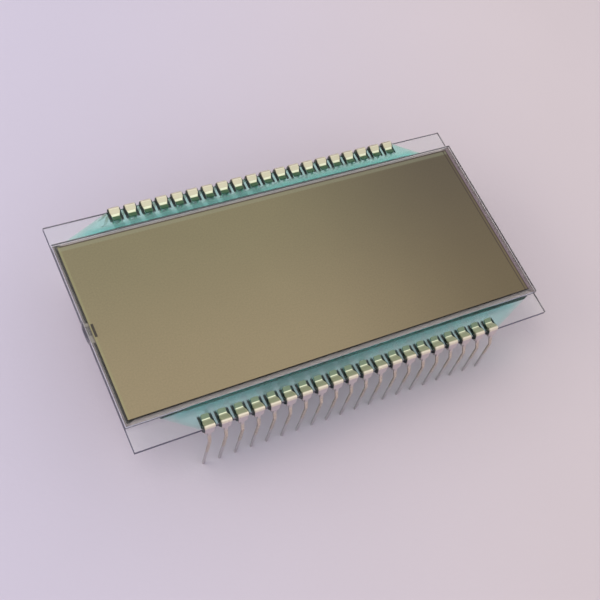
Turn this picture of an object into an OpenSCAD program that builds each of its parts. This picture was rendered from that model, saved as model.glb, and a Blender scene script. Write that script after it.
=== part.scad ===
// Pin-type segment LCD panel: a twisted-nematic glass cell with polarizer films,
// a rear reflector and two rows of spring-clip pins for a 2.54 mm grid.
// Origin: on the plane of the pin feet, at the middle of the pin pattern.
// X runs along the pin rows, Y across them and Z up through the viewing face.

/* [Glass] */
// Length of both glass plates, along the pin rows
glass_l = 69.85; // [62:0.01:90]
// Width of the rear glass plate, which carries the pins
rear_glass_w = 36.83; // [34:0.01:38]
// Width of each contact ledge, where the rear glass stands out past the front glass
ledge_w = 3.5; // [3:0.05:5]
// Thickness of each glass plate
glass_t = 0.7; // [0.55:0.05:1.1]
// Width of the ground bevel along the glass edges
glass_bevel = 0.05; // [0.02:0.01:0.12]

/* [Cell] */
// Gap between the plates, drawn thicker than the real 7 micrometres
cell_gap = 0.1; // [0.06:0.01:0.2]
// Thickness of the transparent electrode films, also drawn thick
film_t = 0.02; // [0.01:0.005:0.025]
// Distance from the front glass edge to the outside of the perimeter seal
seal_inset = 0.12; // [0.05:0.01:0.5]
// Width of the perimeter seal
seal_w = 0.85; // [0.6:0.05:1.5]
// Inner corner radius of the perimeter seal
seal_corner_r = 0.5; // [0.3:0.05:2]
// Width of the filling port in the seal's left side
port_w = 1.5; // [1:0.1:3]
// Place of the filling port along the left side, from the middle
port_y = 0.35; // [-3:0.05:3]
// Length of the dam bar behind the filling port
dam_l = 2.2; // [1.8:0.1:4]
// Width of the dam bar
dam_w = 0.3; // [0.2:0.05:0.6]
// Free way between the seal and the dam bar
dam_gap = 0.15; // [0.1:0.05:0.5]

/* [End seal] */
// Length of the resin plug along the glass edge
plug_l = 3.6; // [3.2:0.1:5]
// Height of the resin plug on the glass edge
plug_h = 1.3; // [0.8:0.05:1.4]
// How far the plug bulges out past the glass edge
plug_bulge = 0.3; // [0.1:0.05:0.6]

/* [Films] */
// Thickness of the front polarizer film
front_pol_t = 0.2; // [0.12:0.01:0.3]
// Bare margin between the front polarizer and the long edges of the front glass
front_pol_margin_y = 0.8; // [0.3:0.05:3]
// Bare margin between the front polarizer and the ends of the front glass
front_pol_margin_x = 0.8; // [0.3:0.05:3]
// Sideways offset of the front polarizer, which is laid on by hand
front_pol_shift = -0.2; // [-0.25:0.05:0.25]
// Thickness of the rear polarizer film
rear_pol_t = 0.2; // [0.12:0.01:0.3]
// Thickness of the reflector foil under the rear polarizer
reflector_t = 0.06; // [0.03:0.01:0.1]
// Bare margin round the rear polarizer and the reflector, from the front glass outline
rear_film_margin = 0.3; // [0.1:0.05:3]

/* [Pins] */
// Number of pins in each row
pins_per_row = 20; // [4:1:20]
// Distance from one pin to the next
pin_pitch = 2.54; // [2.3:0.01:2.6]
// Height of the rear glass underside above the pin feet
standoff = 8.3; // [7.5:0.1:15]
// Thickness of the pin strip
strip_t = 0.25; // [0.15:0.01:0.3]
// Width of the clip where it wraps the glass edge
clip_w = 1.6; // [1.4:0.05:1.8]
// Width of the clip at its tip
tip_w = 1.2; // [0.8:0.05:1.3]
// Corner radius of the clip tip
tip_r = 0.25; // [0.1:0.05:0.35]
// Width of the clip's face at its lower end, over the two lower fingers
lower_w = 1.3; // [1.2:0.02:1.4]
// Width of the pin leg
leg_w = 0.4; // [0.35:0.01:0.45]
// Width of the leg's root, where it leaves the clip
root_w = 0.5; // [0.46:0.02:0.56]
// Gap between the leg's root and each lower finger
finger_slit = 0.08; // [0.06:0.01:0.1]
// Distance from the glass edge in to the lines where the clip grips the glass
grip_in = 1.1; // [0.9:0.05:1.5]
// Distance from the grip lines in to the tips
tip_reach = 0.84; // [0.5:0.02:0.9]
// Lift of the tips away from the glass
tip_lift = 0.26; // [0.1:0.02:0.3]
// Rise of the clip's shoulder above the grip line
shoulder_rise = 0.62; // [0.4:0.02:0.8]
// Drop of the lower fingers' bend below the rear glass underside
finger_drop = 0.2; // [0.15:0.01:0.4]
// Distance of the clip's shoulder out past the glass edge
shoulder_out = 0.12; // [0.08:0.01:0.3]
// Distance of the clip's knee out past the glass edge
knee_out = 0.64; // [0.5:0.02:0.9]
// Drop of the clip's knee below the rear glass underside
knee_drop = 0.62; // [0.5:0.02:0.8]
// Distance of the leg's upper bend out past the glass edge
crank_out = 1.25; // [1:0.02:1.5]
// Drop of the leg's upper bend below the rear glass underside
crank_drop = 1.55; // [1.3:0.05:3]
// Inner bend radius of the clip's shoulder and knee
bend_r = 0.12; // [0.08:0.01:0.2]
// Inner bend radius of the grip lines and of the leg
easy_bend_r = 0.3; // [0.2:0.02:0.4]
// Distance of the pin feet out past the glass edge, which sets the two rows 40.64 apart
foot_out = 1.905; // [1.5:0.005:2.5]
// Length of the tapered foot
foot_l = 0.7; // [0.4:0.1:1.5]
// Width of the foot's end
foot_w = 0.28; // [0.2:0.02:0.35]

/* [Resin beads] */
// Height of the bead on the front glass edge, above the ledge
bead_h = 0.66; // [0.4:0.02:0.7]
// Distance from the front glass edge at which the bead has run out to a thin coat
bead_reach = 1.5; // [1:0.05:1.7]
// Thickness of the coat
coat_t = 0.12; // [0.06:0.01:0.2]
// Distance of the coat's outer edge in from the rear glass edge
coat_inset = 0.1; // [0.05:0.01:0.5]
// Length of the resin at full depth past the middle of the end pins
bead_over = 1.3; // [1:0.05:2]
// Length of the thinning end where the bead was started, along the front glass edge
start_run = 4.6; // [3:0.1:6]
// Length of the thinning end where the bead ran out
end_run = 8; // [6:0.1:8.4]
// How far the resin in a clip's bend stands out at each side of the clip
drop_side = 0.2; // [0.1:0.02:0.3]
// How far the resin in a clip's bend stands out past the glass edge
drop_out = 0.42; // [0.3:0.02:0.5]
// Height of the resin in a clip's bend, above the ledge
drop_h = 0.46; // [0.3:0.02:0.5]

/* [Digits] */
// Number of seven-segment digits
digits = 4; // [1:1:4]
// Distance from one digit to the next
digit_pitch = 14.6; // [14:0.1:15]
// Height of a digit, over its segments
digit_h = 17.8; // [14:0.1:19]
// Width of a digit, over its segments
digit_w = 9.4; // [8.4:0.1:9.6]
// Width of a segment
segment_w = 1.9; // [1.4:0.1:2.1]
// Gap between two segments
segment_gap = 0.42; // [0.4:0.02:0.6]
// Radius of the decimal points
point_r = 0.8; // [0.5:0.05:0.9]
// Width of the electrode leads
lead_w = 0.16; // [0.1:0.01:0.18]
// Width of the contact pads under the pins
pad_w = 1.7; // [1.4:0.05:1.9]
// Radius of the conductive dots that join the electrode films of the two plates
dot_r = 0.45; // [0.3:0.05:0.6]
// Distance of the conductive dots in from the corners of the cell, along each side
dot_in = 1.5; // [1:0.1:2]

/* [Hidden] */
$fn = 64;

function two_digits(n) = n < 10 ? str("0", n) : str(n);
pin_count = 2 * pins_per_row;
pin_names = [for (n = [1 : pin_count]) str("pin_", two_digits(n))];

// Levels, from the pin feet up
rear_top = standoff + glass_t;
film_top = rear_top + film_t;
front_bottom = rear_top + cell_gap;
common_bottom = front_bottom - film_t;
front_top = front_bottom + glass_t;

// Outlines, as half lengths along X and half widths along Y
front_glass_w = rear_glass_w - 2 * ledge_w;
edge_y = rear_glass_w / 2;
front_y = front_glass_w / 2;
end_x = glass_l / 2;
seal_x = end_x - seal_inset;
seal_y = front_y - seal_inset;
cell_x = seal_x - seal_w;
cell_y = seal_y - seal_w;
row_l = (pins_per_row - 1) * pin_pitch;

// Cutters run this far past the faces that they open
over = 0.5;
// Flat faces that make up each bend of the pin strip
bend_steps = 5;

function pin_x(i) = (i - (pins_per_row - 1) / 2) * pin_pitch;

function unit(v) = v / norm(v);
function left_of(v) = [-v[1], v[0]];
function reversed(list) = [for (i = [len(list) - 1 : -1 : 0]) list[i]];

// Outline of a slab's section with its four edges bevelled
module bevelled_section(w, t, bevel) {
    x = w / 2;
    polygon([
        [-x + bevel, 0], [x - bevel, 0], [x, bevel], [x, t - bevel],
        [x - bevel, t], [-x + bevel, t], [-x, t - bevel], [-x, bevel]
    ]);
}

// A glass plate standing on z, ground to a small bevel along its edges
module glass_plate(l, w, z) {
    color([0.78, 0.88, 0.86, 0.5])
    translate([0, 0, z])
    intersection() {
        rotate([90, 0, 90]) linear_extrude(l, center = true) bevelled_section(w, glass_t, glass_bevel);
        rotate([90, 0, 0]) linear_extrude(w, center = true) bevelled_section(l, glass_t, glass_bevel);
    }
}

// A rectangle of film standing on z
module film(l, w, t, z, x = 0) {
    translate([x - l / 2, -w / 2, z]) cube([l, w, t]);
}

module rear_glass() {
    glass_plate(glass_l, rear_glass_w, standoff);
}

module front_glass() {
    glass_plate(glass_l, front_glass_w, front_bottom);
}

// Outline of the space inside the seal, with round corners
module cell_outline() {
    x = cell_x - seal_corner_r;
    y = cell_y - seal_corner_r;
    square([2 * cell_x, 2 * y], center = true);
    square([2 * x, 2 * cell_y], center = true);
    for (sx = [-1, 1], sy = [-1, 1]) translate([sx * x, sy * y]) circle(seal_corner_r);
}

// The bar behind the filling port, which keeps the plug's resin out of the view
module dam_outline() {
    l = dam_l - dam_w;
    translate([-cell_x + dam_gap + dam_w / 2, port_y]) {
        square([dam_w, l], center = true);
        for (s = [-1, 1]) translate([0, s * l / 2]) circle(dam_w / 2);
    }
}

module perimeter_seal() {
    color([0.16, 0.15, 0.13])
    translate([0, 0, film_top])
    linear_extrude(front_bottom - film_top)
    difference() {
        square([2 * seal_x, 2 * seal_y], center = true);
        cell_outline();
        translate([-seal_x - over, port_y - port_w / 2]) square([seal_w + 2 * over, port_w]);
    }
}

module port_dam() {
    color([0.16, 0.15, 0.13])
    translate([0, 0, film_top]) linear_extrude(front_bottom - film_top) dam_outline();
}

// Radius of the arc that bulges by rise over a chord of the given length
function bulge_radius(chord, rise) = (pow(chord / 2, 2) + pow(rise, 2)) / (2 * rise);

// The plug fills the port between the plates and swells over the glass edges.
// Its swelling is a bar along the edge cut by an upright disc, which gives a pillow.
module end_seal() {
    mid_z = (standoff + front_top) / 2;
    bar_r = bulge_radius(plug_h, plug_bulge);
    disc_r = bulge_radius(plug_l, plug_bulge);
    color([0.80, 0.82, 0.80, 0.7])
    union() {
        intersection() {
            translate([-end_x - plug_bulge + bar_r, port_y, mid_z]) rotate([90, 0, 0])
                cylinder(h = plug_l + over, r = bar_r, center = true);
            translate([-end_x - plug_bulge + disc_r, port_y, mid_z])
                cylinder(h = plug_h + over, r = disc_r, center = true);
            translate([-end_x - plug_bulge - over, port_y - plug_l, mid_z - plug_h])
                cube([plug_bulge + over, 2 * plug_l, 2 * plug_h]);
        }
        translate([-end_x, port_y - port_w / 2, film_top])
            cube([end_x - cell_x, port_w, common_bottom - film_top]);
    }
}

// Moves to the conductive dot near the front left (s = -1) or back left (s = 1) corner
module at_dot(s) {
    translate([-cell_x + dot_in, s * (cell_y - dot_in)]) children();
}

module crossover_dot(s) {
    color([0.75, 0.75, 0.76])
    translate([0, 0, film_top])
    linear_extrude(common_bottom - film_top) at_dot(s) circle(dot_r);
}

module liquid_crystal() {
    color([0.82, 0.84, 0.70, 0.4])
    translate([0, 0, film_top])
    linear_extrude(common_bottom - film_top)
    difference() {
        cell_outline();
        dam_outline();
        for (s = [-1, 1]) at_dot(s) circle(dot_r);
    }
}

// Middle lines of a digit's outer segments, from its centre
segment_x = (digit_w - segment_w) / 2;
segment_y = (digit_h - segment_w) / 2;

function digit_x(k) = (k - (digits - 1) / 2) * digit_pitch;

// One segment along X, with pointed ends
module segment_bar(l) {
    x = l / 2;
    h = segment_w / 2;
    polygon([[-x, 0], [-x + h, -h], [x - h, -h], [x, 0], [x - h, h], [-x + h, h]]);
}

module seven_segments() {
    for (y = [-segment_y, 0, segment_y]) translate([0, y]) segment_bar(2 * segment_x - segment_gap);
    for (sx = [-1, 1], sy = [-1, 1])
        translate([sx * segment_x, sy * segment_y / 2]) rotate(90) segment_bar(segment_y - segment_gap);
}

point_x = digit_w / 2 + 1.5 * point_r + lead_w;
point_y = -digit_h / 2 + point_r;

// The line at the distance d to the left of a line through points
function beside(points, d) =
    let (last = len(points) - 1)
    [for (i = [0 : last])
        let (j = max(i, 1), k = min(i + 1, last),
             n = left_of(unit(points[j] - points[j - 1])) + left_of(unit(points[k] - points[k - 1])))
        points[i] + 2 * d / (n * n) * n];

// A thin conductor through a list of points, which ends in the contact pad of pin i.
// The side s is 1 towards the back row and -1 towards the front row.
module lead(points, i, s) {
    path = concat(points, [[pin_x(i), s * seal_y], [pin_x(i), s * (front_y + lead_w)]]);
    polygon(concat(beside(path, -lead_w / 2), reversed(beside(path, lead_w / 2))));
}

// Where the four leads of a digit run on side s, from their segments to the fan-out line
function digit_lead_paths(s) =
    let (h = segment_w / 2,
         fan_y = digit_h / 2 + 3 * lead_w,
         out_x = segment_x + h + 2 * lead_w,
         slip_x = segment_x - h - 1.5 * lead_w,
         slip_sum = segment_y - segment_x)
    s > 0
    ? [
        [[-segment_x, segment_y / 2], [-out_x, segment_y / 2], [-out_x, fan_y]],
        [[-slip_x, 0], [-slip_x, slip_sum + slip_x], [-segment_x - h / 2, slip_sum + segment_x + h / 2],
         [-segment_x - h / 2, fan_y]],
        [[0, segment_y], [0, fan_y]],
        [[segment_x, segment_y / 2], [out_x, segment_y / 2], [out_x, fan_y]]
      ]
    : [
        [[-segment_x, -segment_y / 2], [-out_x, -segment_y / 2], [-out_x, -fan_y]],
        [[0, -segment_y], [0, -fan_y]],
        [[segment_x, -segment_y / 2], [out_x, -segment_y / 2], [out_x, -fan_y]],
        [[point_x, point_y], [point_x, -fan_y]]
      ];

module contact_pads() {
    l = ledge_w - coat_inset;
    for (i = [0 : pins_per_row - 1], s = [-1, 1])
        translate([pin_x(i), s * (front_y + l / 2)]) square([pad_w, l], center = true);
}

module segment_electrodes() {
    leads = 4;
    first = floor((pins_per_row - leads * digits) / 2);
    color([0.72, 0.80, 0.78, 0.6])
    translate([0, 0, rear_top])
    linear_extrude(film_t) {
        contact_pads();
        for (k = [0 : digits - 1]) {
            translate([digit_x(k), 0]) seven_segments();
            translate([digit_x(k) + point_x, point_y]) circle(point_r);
            for (s = [-1, 1], j = [0 : leads - 1]) {
                path = [for (p = digit_lead_paths(s)[j]) [digit_x(k) + p[0], p[1]]];
                lead(path, max(0, first) + leads * k + j, s);
            }
        }
        for (s = [-1, 1]) {
            at_dot(s) circle(dot_r);
            lead([[-cell_x + dot_in, s * (cell_y - dot_in)]], 0, s);
        }
    }
}

module common_electrode() {
    margin = 0.2;
    bus_w = 1.2;
    dot_x = -cell_x + dot_in;
    color([0.72, 0.80, 0.78, 0.6])
    translate([0, 0, common_bottom])
    linear_extrude(film_t) {
        for (k = [0 : digits - 1]) translate([digit_x(k), 0]) {
            square([digit_w + 2 * margin, digit_h + 2 * margin], center = true);
            translate([point_x, point_y]) circle(point_r + margin);
        }
        translate([dot_x, -bus_w / 2]) square([digit_x(digits - 1) - dot_x, bus_w]);
        translate([dot_x - bus_w / 2, -cell_y + dot_in]) square([bus_w, 2 * (cell_y - dot_in)]);
        for (k = [0 : digits - 1])
            translate([digit_x(k), point_y - point_r / 2]) square([point_x, point_r]);
        for (s = [-1, 1]) at_dot(s) circle(dot_r);
    }
}

module front_polarizer() {
    color([0.56, 0.52, 0.38])
    film(glass_l - 2 * front_pol_margin_x, front_glass_w - 2 * front_pol_margin_y,
        front_pol_t, front_top, front_pol_shift);
}

// The two rear films share one outline, a little inside that of the front glass
module rear_film(t, z) {
    film(glass_l - 2 * rear_film_margin, front_glass_w - 2 * rear_film_margin, t, z);
}

module rear_polarizer() {
    color([0.45, 0.44, 0.40]) rear_film(rear_pol_t, standoff - rear_pol_t);
}

module reflector() {
    color([0.78, 0.78, 0.76]) rear_film(reflector_t, standoff - rear_pol_t - reflector_t);
}

// Bent strip. Its side view is one outline, which runs along both faces of the strip.

function heading(v) = atan2(v[1], v[0]);
function spin(v, a) = v * cos(a) + left_of(v) * sin(a);

// Angle that the line turns by at point i, positive to the left
function bend_angle(points, i) =
    let (a = unit(points[i] - points[i - 1]), b = unit(points[i + 1] - points[i]))
    atan2(left_of(a) * b, a * b);

// Distance from corner i to each end of its bend, for the mean radius r
function bend_back(points, i, r) = r * tan(abs(bend_angle(points, i)) / 2);

// Points round the bend at corner i, at the distance d to the left of the middle line
function bend_points(points, i, r, d) =
    let (a = unit(points[i] - points[i - 1]),
         turn = bend_angle(points, i),
         inward = sign(turn) * left_of(a),
         centre = points[i] - a * bend_back(points, i, r) + inward * r)
    [for (k = [0 : bend_steps]) centre - (r - sign(turn) * d) * spin(inward, turn * k / bend_steps)];

// One face of the strip, at the distance d to the left of the middle line through points.
// radii holds the inner bend radius at each point between the first and the last.
function face_line(points, radii, d) =
    let (last = len(points) - 1,
         first_way = unit(points[1] - points[0]),
         last_way = unit(points[last] - points[last - 1]))
    concat(
        [points[0] + d * left_of(first_way)],
        [for (i = [1 : last - 1]) each bend_points(points, i, radii[i - 1] + strip_t / 2, d)],
        [points[last] + d * left_of(last_way)]
    );

// Corners of the strip's middle line, as [distance out from the glass edge, height]
grip_top = [-grip_in, film_top + strip_t / 2];
tip_top = grip_top + [-tip_reach, tip_lift];
shoulder = [shoulder_out, grip_top[1] + shoulder_rise];
knee = [knee_out, standoff - knee_drop];
crank = [crank_out, standoff - crank_drop];
foot = [foot_out, 0];
below_foot = foot + over * unit(foot - crank);
grip_under = [-grip_in, standoff - strip_t / 2];
tip_under = grip_under + [-tip_reach, -tip_lift];

// Points are measured from the knee along the clip's face, so that the upper strip
// and the fingers that leave it there share the planes of the face
face_way = unit(knee - shoulder);
function from_knee(points) = [for (p = points) [(p - knee) * face_way, (p - knee) * left_of(face_way)]];

// A strip of width w along the middle line through points
module strip(points, radii, w) {
    line = from_knee(points);
    rotate([90, 0, 90])
    linear_extrude(w, center = true)
    translate(knee) rotate(heading(face_way))
    polygon(concat(face_line(line, radii, strip_t / 2), reversed(face_line(line, radii, -strip_t / 2))));
}

// The fingers turn in under the glass at finger_bend, and part from the leg where that bend starts
finger_bend = knee - (knee_drop - finger_drop) / -face_way[1] * face_way;
split = finger_bend - bend_back([shoulder, finger_bend, grip_under], 1, bend_r + strip_t / 2) * face_way;

// Front view of the clip face and leg. The face narrows a little down to the lower fingers.
module front_outline() {
    top = shoulder[1] + strip_t + over;
    c = clip_w / 2 + over;
    face_top = shoulder[1] - strip_t;
    w = clip_w / 2;
    n = lower_w / 2;
    r = root_w / 2;
    l = leg_w / 2;
    f = foot_w / 2;
    polygon([
        [-c, top], [-c, face_top], [-w, face_top], [-n, split[1]], [-r, split[1]],
        [-r, knee[1]], [-l, crank[1]], [-l, foot_l], [-f, 0],
        [f, 0], [l, foot_l], [l, crank[1]], [r, knee[1]],
        [r, split[1]], [n, split[1]], [w, face_top], [c, face_top], [c, top]
    ]);
}

// Plan of the upper finger, which narrows to a tip with round corners
module plan_outline() {
    c = clip_w / 2;
    t = tip_w / 2;
    end = -grip_in - tip_reach;
    taper = -grip_in / 2;
    out = foot[0] + over;
    polygon([
        [-c - over, out], [-c - over, taper], [-c, taper], [-t, -grip_in], [-t, end + tip_r],
        [t, end + tip_r], [t, -grip_in], [c, taper], [c + over, taper], [c + over, out]
    ]);
    square_end = 2 * (t - tip_r);
    translate([-square_end / 2, end]) square([square_end, 2 * tip_r]);
    for (s = [-1, 1]) translate([s * square_end / 2, end + tip_r]) circle(tip_r);
}

// The upper finger, clip face and leg: one bent strip, trimmed to its front view and its plan
module clip_body() {
    intersection() {
        strip([tip_top, grip_top, shoulder, knee, crank, below_foot],
            [easy_bend_r, bend_r, easy_bend_r, easy_bend_r], clip_w);
        rotate([90, 0, 0]) linear_extrude(4 * edge_y, center = true) front_outline();
        translate([0, 0, -over]) linear_extrude(front_top + 2 * over) plan_outline();
    }
}

// The two fingers beside the leg, which press on the underside of the glass
module lower_fingers() {
    inner = root_w / 2 + finger_slit;
    w = lower_w / 2 - inner;
    for (s = [-1, 1]) translate([s * (inner + w / 2), 0, 0])
        strip([(shoulder + split) / 2, finger_bend, grip_under, tip_under], [bend_r, easy_bend_r], w);
}

// Pins are numbered anticlockwise from the front left corner, seen from the viewing side
function in_front(n) = n <= pins_per_row;
function pin_place(n) = pin_x(in_front(n) ? n - 1 : pin_count - n);

// Moves children drawn out from the glass edge to pin n
module at_pin(n) {
    translate([pin_place(n), (in_front(n) ? -1 : 1) * edge_y, 0])
        mirror([0, in_front(n) ? 1 : 0, 0]) children();
}

module pin(n) {
    color([0.80, 0.74, 0.60])
    at_pin(n) {
        clip_body();
        lower_fingers();
    }
}

// Section of the bead, out from the front glass edge and up from the film.
// Its face is a hollow arc, which runs out level into the coat.
module bead_section() {
    d = ledge_w - coat_inset;
    rise = bead_h - coat_t;
    r = bulge_radius(2 * bead_reach, rise);
    difference() {
        square([d, bead_h]);
        translate([bead_reach, coat_t + r]) circle(r, $fn = 256);
        translate([bead_reach, coat_t]) square([d, bead_h]);
    }
}

// Cuts the end of the bead to a slope, which comes down to the ledge along a slanted line
module run_cut(run) {
    d = ledge_w - coat_inset;
    slant = atan2(d, run);
    rise = atan2(bead_h, run * sin(slant));
    far = run + ledge_w;
    translate([row_l / 2 + bead_over, d, 0]) rotate(-slant) rotate([-rise, 0, 0])
        translate([-far, -far, 0]) cube([3 * far, 2 * far, far]);
}

// A bead drawn out from the front glass edge, along +Y, on the level of the film.
// It runs out by the given lengths at its +X end and its -X end.
module bead_blank(run_right, run_left) {
    full = row_l / 2 + bead_over + max(run_right, run_left);
    difference() {
        rotate([90, 0, 90]) linear_extrude(2 * full, center = true) bead_section();
        run_cut(run_right);
        mirror([1, 0, 0]) run_cut(run_left);
    }
}

// The resin that fills a clip's bend, from under the upper finger round the glass edge.
// At the sides of the finger it reaches a little below the finger's upper face.
module drop() {
    w = clip_w + 2 * drop_side;
    tip = tip_w + drop_side;
    inner = grip_in + tip_reach;
    intersection() {
        rotate([90, 0, 90]) linear_extrude(w, center = true)
            polygon([
                [-inner, film_top], [0, film_top],
                [0, standoff + glass_bevel], [drop_out / 2, standoff + glass_bevel],
                [drop_out, rear_top - glass_t / 2], [drop_out / 2, film_top + drop_h],
                [-drop_out / 2, film_top + drop_h], [-grip_in, film_top + 0.8 * strip_t],
                [-inner, film_top + coat_t]
            ]);
        translate([0, 0, standoff]) linear_extrude(front_top - standoff)
            polygon([
                [-tip / 2, -inner], [tip / 2, -inner], [w / 2, -grip_in / 2], [w / 2, 0],
                [clip_w / 2, drop_out], [-clip_w / 2, drop_out], [-w / 2, 0], [-w / 2, -grip_in / 2]
            ]);
    }
}

// The two beads are drawn one after the other, with the panel turned half round between them
module resin_bead(s) {
    room = end_x - coat_inset - bead_over - row_l / 2;
    short_run = min(start_run, room);
    long_run = min(end_run, room);
    color([0.35, 0.68, 0.66, 0.6])
    difference() {
        union() {
            translate([0, s * front_y, film_top]) mirror([0, s > 0 ? 0 : 1, 0])
                bead_blank(s > 0 ? short_run : long_run, s > 0 ? long_run : short_run);
            for (n = [1 : pins_per_row]) at_pin(s > 0 ? n + pins_per_row : n) drop();
        }
        for (n = [1 : pins_per_row]) at_pin(s > 0 ? n + pins_per_row : n) {
            clip_body();
            lower_fingers();
        }
    }
}

rear_glass();
front_glass();
perimeter_seal();
port_dam();
end_seal();
liquid_crystal();
segment_electrodes();
common_electrode();
crossover_dot(-1);  // crossover_dot_front
crossover_dot(1);  // crossover_dot_back
front_polarizer();
rear_polarizer();
reflector();
resin_bead(-1);  // front_resin_bead
resin_bead(1);  // back_resin_bead
for (n = [1 : pin_count])
    pin(n);
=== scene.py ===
# %% [markdown]
# # A pin-type segment display
#
# The real thing is two thin glass plates with a hair's breadth of liquid crystal between
# them. An olive polarizer film covers the front. Twenty spring clips grip the longer plate
# along each long edge, and a bead of clear teal resin locks every row of clips in place.
# The CAD frame already holds all of these solids at their true size, so this lesson only
# swaps the few that need finer edges, gives each one a finish, and lights the scene.

# %% Load the model
import math

import bpy
from mathutils import Matrix, Vector


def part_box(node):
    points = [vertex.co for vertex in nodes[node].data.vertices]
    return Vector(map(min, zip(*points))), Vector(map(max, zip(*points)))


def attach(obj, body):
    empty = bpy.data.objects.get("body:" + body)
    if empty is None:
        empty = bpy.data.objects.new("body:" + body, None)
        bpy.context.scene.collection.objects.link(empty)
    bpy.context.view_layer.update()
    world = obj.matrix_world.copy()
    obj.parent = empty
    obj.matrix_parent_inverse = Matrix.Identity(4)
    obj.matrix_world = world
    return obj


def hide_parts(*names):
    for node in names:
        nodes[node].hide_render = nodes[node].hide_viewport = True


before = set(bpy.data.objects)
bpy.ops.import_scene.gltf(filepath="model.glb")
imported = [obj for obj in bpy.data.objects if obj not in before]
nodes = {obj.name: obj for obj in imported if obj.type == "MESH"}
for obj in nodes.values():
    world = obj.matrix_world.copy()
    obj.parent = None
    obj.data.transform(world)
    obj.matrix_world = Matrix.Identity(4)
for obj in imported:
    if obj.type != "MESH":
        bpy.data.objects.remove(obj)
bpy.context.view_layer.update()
print("loaded", len(nodes), "pieces")

# %% [markdown]
# Everything is in metres, but a display is thought of in millimetres. The boxes of a few
# solids give the sizes that the finishes need, so that no size is typed in twice.

# %% Measure the frame
MM = 0.001
rear_low, rear_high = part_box("rear_glass")
front_low, front_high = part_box("front_glass")
film_low, film_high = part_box("front_polarizer")
END_X = rear_high.x / MM
EDGE_Y = rear_high.y / MM
FRONT_Y = front_high.y / MM
LEDGE_TOP = rear_high.z / MM
FRONT_TOP = front_high.z / MM
print("glass", round(2 * END_X, 2), "x", round(2 * EDGE_Y, 2), "mm, ledge top at", round(LEDGE_TOP, 2), "mm")

# %% [markdown]
# The photographer held the camera close, about 17 cm away, and a little tilted. A long
# lens from further off would draw the edges too parallel, so the angles, the distance and
# the lens were found together, by fitting a camera to the glass corners and the pins.

# %% Place the camera
AZIMUTH, ELEVATION, ROLL = math.radians(-48.58), math.radians(56.99), math.radians(26.76)
DISTANCE, ASIDE, UPWARD = 167.245 * MM, 1.278 * MM, 0.066 * MM
LENS_PIXELS, FRAME_PIXELS = 1049.13, 600

back = Vector((
    math.sin(AZIMUTH) * math.cos(ELEVATION),
    -math.cos(AZIMUTH) * math.cos(ELEVATION),
    math.sin(ELEVATION),
))
level = Vector((0, 0, 1)).cross(back).normalized()
upright = back.cross(level)
right = math.cos(ROLL) * level + math.sin(ROLL) * upright
up = -math.sin(ROLL) * level + math.cos(ROLL) * upright

bpy.ops.object.camera_add(location=back * DISTANCE + right * ASIDE + up * UPWARD)
camera = bpy.context.object
camera.name = "Camera"
camera.rotation_mode = "QUATERNION"
camera.rotation_quaternion = Matrix((right, up, back)).transposed().to_quaternion()
camera.data.sensor_width = 36
camera.data.lens = LENS_PIXELS / FRAME_PIXELS * camera.data.sensor_width
camera.data.clip_start, camera.data.clip_end = 0.01, 10
bpy.context.scene.camera = camera
print("camera at", [round(c / MM, 1) for c in camera.location], "mm, lens", round(camera.data.lens, 1), "mm")

# %% [markdown]
# Materials are node trees, and wiring them by hand fills pages. These few helpers read
# like a sum on paper: a value is either a plain number or the socket of another node, and
# feed() takes both. Colours are written as a picture editor shows them.

# %% Helpers for node trees
def feed(tree, socket, value):
    """Links a socket into another one, or sets a plain value on it."""
    if isinstance(value, bpy.types.NodeSocket):
        tree.links.new(value, socket)
    else:
        socket.default_value = value


def calc(tree, operation, *values):
    """One Math node. Returns its output."""
    node = tree.nodes.new("ShaderNodeMath")
    node.operation = operation
    for socket, value in zip(node.inputs, values):
        feed(tree, socket, value)
    return node.outputs[0]


def fade(tree, value, start, end):
    """A soft step, 0 at start and 1 at end. The start may be the larger of the two."""
    node = tree.nodes.new("ShaderNodeMapRange")
    node.interpolation_type = "SMOOTHSTEP"
    feed(tree, node.inputs["Value"], value)
    node.inputs["From Min"].default_value = start
    node.inputs["From Max"].default_value = end
    return node.outputs["Result"]


def band(tree, value, start, end, soft):
    """1 between start and end and 0 outside, with soft shoulders."""
    return calc(tree, "MULTIPLY", fade(tree, value, start - soft, start), fade(tree, value, end + soft, end))


def blend(tree, mask, low, high):
    """The colour low where the mask is 0, and high where it is 1."""
    node = tree.nodes.new("ShaderNodeMix")
    node.data_type = "RGBA"
    feed(tree, node.inputs[0], mask)
    feed(tree, node.inputs[6], low)
    feed(tree, node.inputs[7], high)
    return node.outputs[2]


def colour(r, g, b):
    """An sRGB colour, 0 to 255, as linear values."""
    def linear(c):
        c = c / 255
        return c / 12.92 if c <= 0.04045 else ((c + 0.055) / 1.055) ** 2.4
    return linear(r), linear(g), linear(b), 1.0


def new_finish(name):
    """A material with its node tree and its Principled shader."""
    material = bpy.data.materials.new(name)
    material.use_nodes = True
    return material, material.node_tree, material.node_tree.nodes["Principled BSDF"]


def finish(names, material):
    """Gives the CAD nodes of these names one material."""
    for name in names:
        nodes[name].data.materials.clear()
        nodes[name].data.materials.append(material)
    print(material.name, "on", len(names), "piece(s)")


# %% [markdown]
# Every finish needs to know where it is on the part. Object coordinates do that, because
# every piece keeps its origin at the middle of the panel. One shared group turns them into
# millimetres. Its last outputs fold the part in half: how far a point stands out past the
# long glass edge, and how far it is from the middle of the nearest clip.

# %% Group: place on the part
PITCH = 2.54


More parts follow.
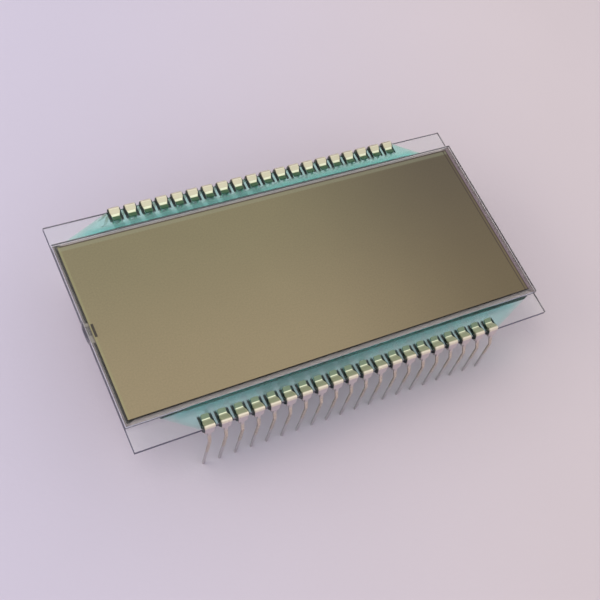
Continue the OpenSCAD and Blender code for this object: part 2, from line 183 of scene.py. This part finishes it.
def new_group(name, inputs, outputs):
    """A shader group with number inputs, and outputs that are numbers or colours."""
    group = bpy.data.node_groups.new(name, "ShaderNodeTree")
    for label, value in inputs.items():
        socket = group.interface.new_socket(label, in_out="INPUT", socket_type="NodeSocketFloat")
        socket.default_value = value
    for label, kind in outputs.items():
        group.interface.new_socket(label, in_out="OUTPUT", socket_type=kind)
    return group, group.nodes.new("NodeGroupInput"), group.nodes.new("NodeGroupOutput")


place_group, entry, leave = new_group(
    "Place on the part", {},
    {"Point": "NodeSocketVector", "X": "NodeSocketFloat", "Y": "NodeSocketFloat", "Z": "NodeSocketFloat",
     "Out": "NodeSocketFloat", "From clip": "NodeSocketFloat"},
)
coords = place_group.nodes.new("ShaderNodeTexCoord")
in_mm = place_group.nodes.new("ShaderNodeVectorMath")
in_mm.operation = "SCALE"
in_mm.inputs["Scale"].default_value = 1 / MM
place_group.links.new(coords.outputs["Object"], in_mm.inputs[0])
split = place_group.nodes.new("ShaderNodeSeparateXYZ")
place_group.links.new(in_mm.outputs[0], split.inputs[0])
place_group.links.new(in_mm.outputs[0], leave.inputs["Point"])
for axis in "XYZ":
    place_group.links.new(split.outputs[axis], leave.inputs[axis])
far = calc(place_group, "ABSOLUTE", split.outputs["Y"])
feed(place_group, leave.inputs["Out"], calc(place_group, "SUBTRACT", far, EDGE_Y))
wrapped = calc(place_group, "PINGPONG", split.outputs["X"], PITCH / 2)
feed(place_group, leave.inputs["From clip"], calc(place_group, "SUBTRACT", PITCH / 2, wrapped))
print("group", place_group.name, "has", len(place_group.nodes), "nodes")

# %% [markdown]
# No real surface has one even colour. A fine grain with a slow cloudiness under it breaks
# up glass, film, metal and paper alike, only at different sizes, so it is one group too.
# Its two inputs are the sizes of the grain and of the clouds in millimetres.

# %% Group: grain and clouds
grain_group, entry, leave = new_group(
    "Grain and clouds", {"Grain size": 0.1, "Cloud size": 3.0},
    {"Grain": "NodeSocketFloat", "Clouds": "NodeSocketFloat"},
)
there = grain_group.nodes.new("ShaderNodeGroup")
there.node_tree = place_group
for label, size, detail in (("Grain", "Grain size", 2), ("Clouds", "Cloud size", 3)):
    noise = grain_group.nodes.new("ShaderNodeTexNoise")
    noise.inputs["Detail"].default_value = detail
    grain_group.links.new(there.outputs["Point"], noise.inputs["Vector"])
    feed(grain_group, noise.inputs["Scale"], calc(grain_group, "DIVIDE", 1.0, entry.outputs[size]))
    grain_group.links.new(noise.outputs["Fac"], leave.inputs[label])
print("group", grain_group.name, "has", len(grain_group.nodes), "nodes")


def add_place(tree):
    node = tree.nodes.new("ShaderNodeGroup")
    node.node_tree = place_group
    return node.outputs


def add_grain(tree, grain, clouds):
    node = tree.nodes.new("ShaderNodeGroup")
    node.node_tree = grain_group
    node.inputs["Grain size"].default_value = grain
    node.inputs["Cloud size"].default_value = clouds
    return node.outputs


def mottle(tree, base, value, amount):
    """Makes a colour up to amount lighter or darker where value is over or under a half."""
    swing = calc(tree, "MULTIPLY_ADD", value, 2 * amount, 1 - amount)
    node = tree.nodes.new("ShaderNodeVectorMath")
    node.operation = "SCALE"
    feed(tree, node.inputs[0], base if isinstance(base, bpy.types.NodeSocket) else base[:3])
    feed(tree, node.inputs["Scale"], swing)
    return node.outputs[0]


def add_bump(tree, shader, height, depth):
    """Raises the surface by depth metres where the height is 1."""
    node = tree.nodes.new("ShaderNodeBump")
    node.inputs["Distance"].default_value = depth
    feed(tree, node.inputs["Height"], height)
    tree.links.new(node.outputs["Normal"], shader.inputs["Normal"])


# %% [markdown]
# The table is matt paper with a lilac cast. A wide flat sheet is all that it takes, since
# it marks the ground and nothing more. Its colour drifts across the view from cool on the
# left to warmer on the right, painted light for a window on one side and a warmer room on the other.

# %% The paper
bpy.ops.object.select_all(action="DESELECT")
bpy.ops.mesh.primitive_plane_add(size=6)
floor = bpy.context.object
floor.name = "Floor"

paper, tree, shader = new_finish("Lilac paper")
place = add_place(tree)
grain = add_grain(tree, 0.6, 60)
DRIFT = 60
# painted light: the paper drifts from cool on the left of the view to warmer on the right
along = calc(
    tree, "ADD",
    calc(tree, "MULTIPLY", place["X"], right.x), calc(tree, "MULTIPLY", place["Y"], right.y),
)
painted_light_drift = blend(tree, fade(tree, along, -DRIFT, DRIFT), colour(205, 195, 203), colour(213, 198, 192))
feed(tree, shader.inputs["Base Color"], mottle(tree, painted_light_drift, grain["Clouds"], 0.04))
add_bump(tree, shader, grain["Grain"], 0.00002)
shader.inputs["Roughness"].default_value = 0.9
shader.inputs["Specular IOR Level"].default_value = 0.1
floor.data.materials.append(paper)
print("paper drifts over", 2 * DRIFT, "mm")

# %% [markdown]
# Daylight falls in from a high window at the back left, and a low one further round to the
# left throws some light in under the panel. The rest of the room fills in the shadows.
# Metal and glass live on what they mirror, so they see a room with a bright ceiling, a
# darker far wall behind the panel and a pale band low down. Matt surfaces get a plain
# bluish light instead, stronger from the sides than from above, as between pale walls.
# Together the level is one at which a colour looks as it is written.

# %% Light
def add_window(name, azimuth, elevation, distance, width, height, watts):
    """An area lamp that faces the panel, from a compass angle and a height in degrees."""
    turn, rise = math.radians(azimuth), math.radians(elevation)
    way = Vector((math.cos(turn) * math.cos(rise), math.sin(turn) * math.cos(rise), math.sin(rise)))
    bpy.ops.object.light_add(type="AREA", location=way * distance)
    lamp = bpy.context.object
    lamp.name = name
    lamp.data.shape = "RECTANGLE"
    lamp.data.size, lamp.data.size_y = width, height
    lamp.data.energy = watts
    lamp.data.color = (1.0, 0.97, 0.91)
    lamp.rotation_mode = "QUATERNION"
    lamp.rotation_quaternion = (-way).to_track_quat("-Z", "Y")
    print(name, "lamp", watts, "W")


add_window("High_window", azimuth=132, elevation=58, distance=0.70, width=0.45, height=0.35, watts=1.25)
add_window("Low_window", azimuth=160, elevation=24, distance=0.60, width=0.50, height=0.22, watts=0.85)

room = bpy.data.worlds.new("Room")
bpy.context.scene.world = room
room.use_nodes = True
tree = room.node_tree
background = tree.nodes["Background"]
sight = tree.nodes.new("ShaderNodeTexCoord")
way = tree.nodes.new("ShaderNodeSeparateXYZ")
tree.links.new(sight.outputs["Generated"], way.inputs[0])
walls = blend(tree, fade(tree, way.outputs["Y"], -0.1, 0.6), colour(196, 190, 186), colour(112, 114, 92))
lit = blend(tree, fade(tree, way.outputs["Z"], 0.55, 0.9), walls, colour(252, 250, 246))
seen = blend(tree, fade(tree, way.outputs["Z"], 0.30, 0.22), lit, colour(214, 206, 214))
rays = tree.nodes.new("ShaderNodeLightPath")
direct = calc(
    tree, "MAXIMUM", rays.outputs["Is Camera Ray"],
    calc(tree, "MAXIMUM", rays.outputs["Is Glossy Ray"], rays.outputs["Is Transmission Ray"]),
)
fill = blend(tree, fade(tree, way.outputs["Z"], 0.0, 1.0), (1.66, 1.72, 2.04, 1), (0.36, 0.37, 0.45, 1))
feed(tree, background.inputs["Color"], blend(tree, direct, fill, seen))
background.inputs["Strength"].default_value = 1
bpy.context.scene.view_settings.view_transform = "Standard"
print("room has", len(tree.nodes), "nodes")

# %% [markdown]
# Both plates are float glass, scored, broken and lightly ground, so each has a tiny bevel
# all round and a matt grey edge between two clear faces. A cube is sized to the CAD solid,
# and a bevel modifier breaks its edges. It stays a few thousandths of a millimetre clear
# of its neighbours: light that leaves glass would otherwise miss a face that lies exactly
# on it. Faces that look sideways get the ground finish.

# %% Helper: a slab from a node's box
CLEAR = 0.003 * MM


def slab(name, low, high, bevel, segments):
    """A block with rounded edges, its place in its mesh."""
    bpy.ops.object.select_all(action="DESELECT")
    bpy.ops.mesh.primitive_cube_add(size=1, location=(low + high) / 2)
    piece = bpy.context.object
    piece.name = name
    piece.scale = high - low
    bpy.ops.object.transform_apply(location=True, rotation=False, scale=True)
    bpy.ops.object.shade_smooth()
    rounding = piece.modifiers.new("Ground edges", "BEVEL")
    rounding.width = bevel
    rounding.segments = segments
    rounding.harden_normals = True
    bpy.ops.object.modifier_apply(modifier=rounding.name)
    print(name, "has", len(piece.data.polygons), "faces")
    return piece


def two_finishes(piece, faces, edges):
    """One material on the level faces, and another one all round the edge."""
    piece.data.materials.clear()
    piece.data.materials.append(faces)
    piece.data.materials.append(edges)
    for face in piece.data.polygons:
        face.material_index = 0 if abs(face.normal.z) > 0.9 else 1


# %% [markdown]
# Clear glass is a Principled shader with all of its weight on transmission. The window
# lamp can't shine through such a surface by itself, so the alpha drops for shadow rays,
# and the paper under the clear ledges stays as bright as beside them. The ground edge is
# the same glass with a rough, slightly grey and grainy skin. Its colour holds painted
# light: a painted reflection makes it pale along the upper edge of the front plate,
# painted shade makes it dark lower down and darker at the right end, and a near-black
# painted shadow line runs along the foot of the front plate.

# %% Glass
def let_light_pass(tree, shader, share):
    """Shadow rays go through by this share."""
    rays = tree.nodes.new("ShaderNodeLightPath")
    feed(tree, shader.inputs["Alpha"], calc(tree, "MULTIPLY_ADD", rays.outputs["Is Shadow Ray"], -share, 1.0))


clear_glass, tree, shader = new_finish("Float glass")
grain = add_grain(tree, 0.4, 9)
feed(tree, shader.inputs["Base Color"], mottle(tree, colour(251, 253, 253), grain["Clouds"], 0.004))
feed(tree, shader.inputs["Roughness"], calc(tree, "MULTIPLY", grain["Clouds"], 0.01))
shader.inputs["Transmission Weight"].default_value = 1
shader.inputs["IOR"].default_value = 1.5
let_light_pass(tree, shader, 0.94)

ground_glass, tree, shader = new_finish("Ground glass edge")
grain = add_grain(tree, 0.05, 1.2)
place = add_place(tree)
# painted reflection and shade: pale on the upper edge of the front plate, dark lower down
painted_reflection_upper_edge = fade(tree, place["Z"], LEDGE_TOP + 0.30, LEDGE_TOP + 0.45)
tone = blend(tree, painted_reflection_upper_edge, colour(74, 70, 88), colour(208, 203, 211))
# painted shadow: a near-black line along the foot of the front plate
painted_shadow_foot = band(tree, place["Z"], LEDGE_TOP + 0.08, LEDGE_TOP + 0.36, 0.06)
tone = blend(tree, painted_shadow_foot, tone, colour(26, 20, 28))
# painted shade: darker at the right end
tone = blend(tree, fade(tree, place["X"], END_X - 1, END_X - 0.2), tone, colour(92, 80, 86))
feed(tree, shader.inputs["Base Color"], mottle(tree, tone, grain["Clouds"], 0.15))
feed(tree, shader.inputs["Roughness"], calc(tree, "MULTIPLY_ADD", grain["Grain"], 0.2, 0.3))
add_bump(tree, shader, grain["Grain"], 0.00001)
shader.inputs["Transmission Weight"].default_value = 0.3
shader.inputs["IOR"].default_value = 1.5
let_light_pass(tree, shader, 0.8)

for name, node, low, high in (
    ("rear_plate", "rear_glass", rear_low, rear_high),
    ("front_plate", "front_glass", front_low, front_high),
):
    gap = Vector((CLEAR, CLEAR, CLEAR))
    plate = slab(name, low + gap, high - gap, 0.05 * MM, 2)
    two_finishes(plate, clear_glass, ground_glass)
    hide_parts(node)
    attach(plate, "root")

# %% [markdown]
# The front polarizer is a sheet of plastic film with a satin, anti-glare skin. Behind it
# lie the cell, the second polarizer and a silver foil, and together they look like one
# olive surface. Its colour holds painted light: lighter at the front and greener at the
# back, and painted shade makes it darker and browner towards the right. Its sparkle is a
# fine grain in the bump. The rim of the cell shows through as thin lines along the edges.
# A dark painted shadow line runs along the back edge, and at the right end the seal line
# lies beside its own painted shadow on the foil. The dam behind the filling port shows as
# a short dark bar on the left.

# %% Polarizer film
film = slab("polarizer_film", film_low + Vector((0, 0, CLEAR)), film_high, 0.025 * MM, 2)
olive, tree, shader = new_finish("Satin polarizer")
place = add_place(tree)
grain = add_grain(tree, 0.25, 7)
FILM_LEFT, FILM_RIGHT = film_low.x / MM, film_high.x / MM
FILM_BACK, FILM_FRONT = film_high.y / MM, film_low.y / MM
# painted light and shade: lighter at the front, greener at the back, darker and browner to the right
painted_light_left_tone = blend(tree, fade(tree, place["Y"], FILM_FRONT, FILM_BACK), colour(145, 129, 93), colour(126, 116, 81))
painted_shade_to_right = fade(tree, place["X"], -8, FILM_RIGHT)
painted_shade_right_tone = blend(tree, fade(tree, place["Y"], FILM_FRONT, FILM_BACK), colour(104, 90, 60), colour(89, 78, 56))
tone = blend(tree, painted_shade_to_right, painted_light_left_tone, painted_shade_right_tone)
back_strip = band(tree, place["Y"], FILM_BACK - 0.7, FILM_BACK - 0.3, 0.25)
tone = blend(tree, calc(tree, "MULTIPLY", back_strip, 0.35), tone, colour(146, 148, 116))
# painted shadow: a dark line along the film's back edge
painted_shadow_back_rim = fade(tree, place["Y"], FILM_BACK - 0.24, FILM_BACK - 0.16)
tone = blend(tree, calc(tree, "MULTIPLY", painted_shadow_back_rim, 0.85), tone, colour(66, 48, 40))
left_strip = band(tree, place["X"], FILM_LEFT + 0.1, FILM_LEFT + 0.3, 0.1)
tone = blend(tree, calc(tree, "MULTIPLY", left_strip, 0.35), tone, colour(150, 150, 100))
right_rim = fade(tree, place["X"], FILM_RIGHT - 0.42, FILM_RIGHT - 0.34)
tone = blend(tree, right_rim, tone, colour(122, 104, 106))
# at the right end, the seal line and beside it the seal's painted shadow on the foil
for line in (0.95, 0.42):
    seal_line_and_painted_shadow = band(tree, place["X"], FILM_RIGHT - line - 0.07, FILM_RIGHT - line + 0.07, 0.06)
    tone = blend(tree, calc(tree, "MULTIPLY", seal_line_and_painted_shadow, 0.75), tone, colour(56, 40, 32))
DAM_X, DAM_Y, DAM_L, DAM_W = -33.95, -0.07, 2.0, 0.33
dam = calc(
    tree, "MULTIPLY",
    band(tree, place["X"], DAM_X - DAM_W / 2, DAM_X + DAM_W / 2, 0.05),
    band(tree, place["Y"], DAM_Y - DAM_L / 2, DAM_Y + DAM_L / 2, 0.1),
)
tone = blend(tree, calc(tree, "MULTIPLY", dam, 0.95), tone, colour(40, 31, 25))
tone = mottle(tree, tone, grain["Clouds"], 0.035)
feed(tree, shader.inputs["Base Color"], mottle(tree, tone, grain["Grain"], 0.16))
feed(tree, shader.inputs["Roughness"], calc(tree, "MULTIPLY_ADD", grain["Grain"], 0.15, 0.38))
add_bump(tree, shader, grain["Grain"], 0.000006)

cut_film, tree, shader = new_finish("Cut film edge")
grain = add_grain(tree, 0.06, 2)
feed(tree, shader.inputs["Base Color"], mottle(tree, colour(74, 60, 44), grain["Clouds"], 0.2))
feed(tree, shader.inputs["Roughness"], calc(tree, "MULTIPLY_ADD", grain["Grain"], 0.2, 0.3))
two_finishes(film, olive, cut_film)
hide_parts("front_polarizer")
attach(film, "root")

# %% [markdown]
# The seal is a line of epoxy, printed between the plates and squeezed flat. It reads as a
# pinkish grey margin through the front glass. Where it meets the cell it is painted near
# black, painted shade where the unlit cell begins under the film's edge. The finish
# measures the distance out from the film's outline. It allows for the way that the glass
# bends the view, so the dark line lies a little further in on the near sides.

# %% Seal and dam
seal, tree, shader = new_finish("Printed epoxy seal")
place = add_place(tree)
grain = add_grain(tree, 0.08, 1.5)
BENT_X, BENT_Y = 0.20, 0.18
film_middle, film_half = (FILM_LEFT + FILM_RIGHT) / 2, (FILM_RIGHT - FILM_LEFT) / 2
along = calc(tree, "ABSOLUTE", calc(tree, "SUBTRACT", place["X"], film_middle + BENT_X))
across = calc(tree, "ABSOLUTE", calc(tree, "SUBTRACT", place["Y"], BENT_Y))
outward = calc(
    tree, "MAXIMUM",
    calc(tree, "SUBTRACT", along, film_half), calc(tree, "SUBTRACT", across, FILM_BACK),
)
at_end = fade(tree, calc(tree, "SUBTRACT", along, across), 19.0, 19.6)
margin = blend(tree, at_end, colour(166, 153, 152), colour(118, 106, 108))
at_left = calc(tree, "MULTIPLY", at_end, fade(tree, place["X"], 1, -1))
painted_shade_reach = calc(tree, "MULTIPLY_ADD", at_left, -0.24, outward)
# painted shade: near black where the unlit cell begins along the film's outline
tone = blend(tree, fade(tree, painted_shade_reach, 0.14, 0.22), colour(16, 9, 6), margin)
port = calc(tree, "MULTIPLY", at_left, band(tree, place["Y"], -1.5, 1.5, 0.15))
tone = blend(tree, port, tone, colour(158, 148, 140))
at_right = calc(tree, "MULTIPLY", at_end, fade(tree, place["X"], -1, 1))
tone = blend(tree, at_right, tone, colour(120, 103, 106))
tone = mottle(tree, tone, grain["Clouds"], 0.1)
feed(tree, shader.inputs["Base Color"], mottle(tree, tone, grain["Grain"], 0.08))
feed(tree, shader.inputs["Roughness"], calc(tree, "MULTIPLY_ADD", grain["Grain"], 0.2, 0.45))
finish(["perimeter_seal", "port_dam"], seal)

# %% [markdown]
# The filling port is closed with a drop of clear, slightly milky resin that stands proud
# of the glass edge. It scatters a little light, so some weight is taken off transmission.
# Past the glass end it is painted darker, painted shade for the dark outline of the drop.

# %% Port plug
plug, tree, shader = new_finish("Milky plug resin")
place = add_place(tree)
grain = add_grain(tree, 0.2, 0.9)
# painted shade: the drop is darker past the glass end
tone = blend(tree, fade(tree, place["X"], -END_X - 0.15, -END_X), colour(84, 82, 92), colour(160, 152, 152))
feed(tree, shader.inputs["Base Color"], mottle(tree, tone, grain["Clouds"], 0.1))
feed(tree, shader.inputs["Roughness"], calc(tree, "MULTIPLY_ADD", grain["Clouds"], 0.1, 0.08))
add_bump(tree, shader, grain["Clouds"], 0.00003)
shader.inputs["Transmission Weight"].default_value = 0.6
shader.inputs["IOR"].default_value = 1.48
let_light_pass(tree, shader, 0.6)
finish(["end_seal"], plug)

# %% [markdown]
# The bead along the contacts is a clear resin with a teal dye. Its colour has to come from
# its depth, light where it thins out and darker where it pools round the clips, so the dye
# is a Volume Absorption: density says how fast it takes away red. The base colour is close
# to white, so the small share off transmission takes away hardly anything. The slits beside
# each clip are painted near-black teal, painted shade along the clip sides in the resin,
# and a darker teal line of painted shade runs along the foot of the front glass, wider to
# the right. A slow bump gives the wet look of a meniscus.

# %% Edge resin
resin, tree, shader = new_finish("Teal edge resin")
place = add_place(tree)
grain = add_grain(tree, 0.5, 1.6)
ROW_END = 19 / 2 * PITCH + 1.1
in_row = fade(tree, calc(tree, "ABSOLUTE", place["X"]), ROW_END + 0.1, ROW_END)
# painted shade: near-black teal beside each clip, in the bend
painted_shade_beside_clip = calc(tree, "MULTIPLY", band(tree, place["From clip"], 0.70, 1.05, 0.05), in_row)
in_bend = fade(tree, place["Out"], -2.1, -1.7)
clear = blend(tree, fade(tree, place["Y"], -1, 1), colour(244, 253, 250), colour(232, 253, 243))
tone = blend(tree, calc(tree, "MULTIPLY", painted_shade_beside_clip, in_bend), clear, colour(3, 52, 48))
GLASS_OUT = FRONT_Y - EDGE_Y
# painted shade: a darker teal line along the foot of the front glass, wider to the right
toward_right = fade(tree, calc(tree, "SUBTRACT", place["X"], place["Y"]), 24, 50)
from_glass = calc(tree, "SUBTRACT", place["Out"], GLASS_OUT)
painted_shade_shore = calc(tree, "MULTIPLY_ADD", toward_right, -0.22, from_glass)
tone = blend(tree, fade(tree, painted_shade_shore, 0.24, 0.12), tone, colour(60, 92, 86))
feed(tree, shader.inputs["Base Color"], mottle(tree, tone, grain["Clouds"], 0.06))
feed(tree, shader.inputs["Roughness"], calc(tree, "MULTIPLY_ADD", grain["Clouds"], 0.06, 0.04))
add_bump(tree, shader, grain["Clouds"], 0.00004)
shader.inputs["Transmission Weight"].default_value = 0.97
shader.inputs["IOR"].default_value = 1.5
let_light_pass(tree, shader, 0.85)
dye = tree.nodes.new("ShaderNodeVolumeAbsorption")
dye.inputs["Color"].default_value = (0.03, 0.90, 0.86, 1)
dye.inputs["Density"].default_value = 2500
tree.links.new(dye.outputs["Volume"], tree.nodes["Material Output"].inputs["Volume"])
finish(["front_resin_bead", "back_resin_bead"], resin)

# %% [markdown]
# The clips are stamped from thin strip and bright tin-plated. Their upper fingers sit in
# the resin, and a skin of it stains the tips green. In the front row, which sits deeper,
# it reaches up the slope as well. Above the shoulder and along the grip line the strip is
# painted lighter, painted highlights where these bends catch the light, and the leg grows
# duller towards the foot. All of this follows from the place along the clip: how far out
# it is, how high, and on which row.

# %% Pins
tin, tree, shader = new_finish("Tinned strip")
place = add_place(tree)
grain = add_grain(tree, 0.07, 0.8)
GRIP_OUT, SHOULDER_Z, CRANK_Z = -1.1, 9.55, 6.8
# painted highlight: the strip above the shoulder is painted lighter
painted_highlight_top = blend(tree, grain["Clouds"], colour(250, 240, 218), colour(238, 230, 212))
face = blend(tree, fade(tree, place["Z"], CRANK_Z + 1, CRANK_Z - 2), colour(212, 203, 202), colour(208, 203, 202))
scuffed = blend(tree, fade(tree, grain["Grain"], 0.42, 0.58), colour(150, 122, 96), colour(244, 232, 204))
worn = calc(tree, "MULTIPLY", band(tree, place["Z"], CRANK_Z - 2.5, CRANK_Z + 0.5, 1.0), 0.6)
face = blend(tree, worn, face, scuffed)
metal = blend(tree, fade(tree, place["Z"], SHOULDER_Z, SHOULDER_Z - 0.3), painted_highlight_top, face)
upper = calc(tree, "MULTIPLY", fade(tree, place["Out"], -0.05, -0.25), fade(tree, place["Z"], 8.8, 9.0))
front_row = fade(tree, place["Y"], 1, -1)
slope = blend(tree, front_row, colour(222, 218, 192), colour(224, 232, 194))
tip = blend(tree, front_row, colour(132, 176, 148), colour(128, 146, 124))
stained = blend(tree, fade(tree, place["Out"], GRIP_OUT, GRIP_OUT - 0.2), slope, tip)
metal = blend(tree, upper, metal, stained)
# painted highlight: a bright line along the grip bend
painted_highlight_grip = calc(tree, "MULTIPLY", band(tree, place["Out"], GRIP_OUT - 0.10, GRIP_OUT + 0.20, 0.08), upper)
metal = blend(tree, painted_highlight_grip, metal, colour(246, 252, 222))
feed(tree, shader.inputs["Base Color"], mottle(tree, metal, grain["Grain"], 0.06))
feed(tree, shader.inputs["Roughness"], calc(tree, "MULTIPLY_ADD", grain["Clouds"], 0.12, 0.24))
add_bump(tree, shader, grain["Grain"], 0.000004)
shader.inputs["Metallic"].default_value = 1
pins = sorted(name for name in nodes if name.startswith("pin_"))
finish(pins, tin)

# %% [markdown]
# The electrode films are a fraction of a micrometre of clear oxide. On the ledges they
# show as barely tinted pads under the clips, so their alpha is very low. The dots of
# silver epoxy, which join the two films, and the liquid crystal are hidden by the film.

# %% Inside the cell
oxide, tree, shader = new_finish("Clear oxide")
grain = add_grain(tree, 0.3, 2)
feed(tree, shader.inputs["Base Color"], mottle(tree, colour(190, 206, 202), grain["Clouds"], 0.06))
feed(tree, shader.inputs["Alpha"], calc(tree, "MULTIPLY_ADD", grain["Clouds"], 0.04, 0.03))
shader.inputs["Roughness"].default_value = 0.1
finish(["segment_electrodes", "common_electrode"], oxide)

silver, tree, shader = new_finish("Silver epoxy")
grain = add_grain(tree, 0.04, 0.3)
feed(tree, shader.inputs["Base Color"], mottle(tree, colour(198, 198, 200), grain["Grain"], 0.2))
feed(tree, shader.inputs["Roughness"], calc(tree, "MULTIPLY_ADD", grain["Grain"], 0.2, 0.45))
feed(tree, shader.inputs["Metallic"], calc(tree, "MULTIPLY_ADD", grain["Grain"], 0.4, 0.3))
finish(["crossover_dot_front", "crossover_dot_back"], silver)

crystal, tree, shader = new_finish("Liquid crystal")
grain = add_grain(tree, 0.5, 6)
feed(tree, shader.inputs["Base Color"], mottle(tree, colour(120, 112, 84), grain["Clouds"], 0.08))
feed(tree, shader.inputs["Roughness"], calc(tree, "MULTIPLY_ADD", grain["Clouds"], 0.1, 0.15))
finish(["liquid_crystal"], crystal)

# %% [markdown]
# Two more films lie under the rear plate. The polarizer is a grey-brown plastic sheet,
# and the reflector is a foil with a fine brushed grain, so that it spreads light.

# %% Films at the back
rear_film, tree, shader = new_finish("Rear polarizer")
grain = add_grain(tree, 0.15, 8)
feed(tree, shader.inputs["Base Color"], mottle(tree, colour(116, 110, 98), grain["Clouds"], 0.06))
feed(tree, shader.inputs["Roughness"], calc(tree, "MULTIPLY_ADD", grain["Grain"], 0.15, 0.3))
finish(["rear_polarizer"], rear_film)

foil, tree, shader = new_finish("Reflector foil")
place = add_place(tree)
grain = add_grain(tree, 0.1, 12)
stretched = tree.nodes.new("ShaderNodeMapping")
stretched.inputs["Scale"].default_value = (0.3, 12, 1)
tree.links.new(place["Point"], stretched.inputs["Vector"])
brushed = tree.nodes.new("ShaderNodeTexNoise")
brushed.inputs["Scale"].default_value = 1.5
brushed.inputs["Detail"].default_value = 3
tree.links.new(stretched.outputs["Vector"], brushed.inputs["Vector"])
tone = mottle(tree, colour(204, 204, 202), grain["Clouds"], 0.05)
feed(tree, shader.inputs["Base Color"], mottle(tree, tone, brushed.outputs["Fac"], 0.08))
feed(tree, shader.inputs["Roughness"], calc(tree, "MULTIPLY_ADD", brushed.outputs["Fac"], 0.25, 0.3))
add_bump(tree, shader, brushed.outputs["Fac"], 0.00001)
shader.inputs["Metallic"].default_value = 0.9
finish(["reflector"], foil)
